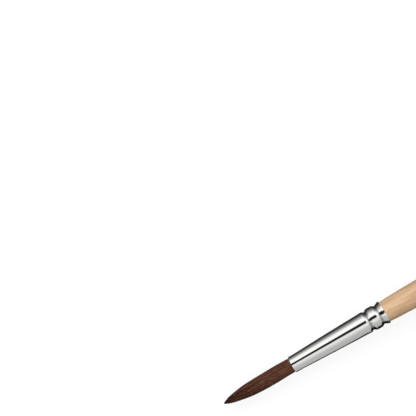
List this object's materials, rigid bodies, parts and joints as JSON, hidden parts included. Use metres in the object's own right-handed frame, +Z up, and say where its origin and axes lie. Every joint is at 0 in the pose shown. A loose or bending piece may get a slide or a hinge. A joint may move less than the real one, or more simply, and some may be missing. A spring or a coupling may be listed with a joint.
{
  "type": "pointed round paintbrush",
  "caption": "Pointed round paintbrush: a dark hair tuft that flexes, set in a tapered, crimped metal ferrule on a slim turned wooden handle, for fine detail and watercolour work.",
  "frame": {"origin": "on the brush's axis, at the centre of the ferrule's mouth, where the hair comes out", "axes": "+X along the axis towards the end of the handle, with the hair pointing to -X; +Z up, with the brush lying level; the hair bends about Z"},
  "size_m": [0.1914, 0.0066, 0.0066],
  "materials": {
    "ferrule_metal": "polished nickel plate on drawn brass",
    "handle_wood": "clear satin lacquer on pale beech",
    "wood_glue": "dried glue",
    "resin": "set amber resin",
    "thread": "waxed cotton thread",
    "hair": "dark reddish-brown hair, slightly glossy"
  },
  "bodies": {
    "brush": {"ferrule": "ferrule_metal", "handle": "handle_wood", "handle_glue": "wood_glue", "glue_plug": "resin", "tie_thread": "thread", "tuft_root": "hair"},
    "tuft": {"tuft_point": "hair"}
  },
  "joints": [
    {"name": "tuft_bend", "type": "hinge", "parent": "brush", "child": "tuft", "pos_m": [-0.003, 0, 0], "axis": [0, 0, 1], "range_deg": [-40, 40], "stiffness_Nm_per_rad": 0.00086}
  ]
}
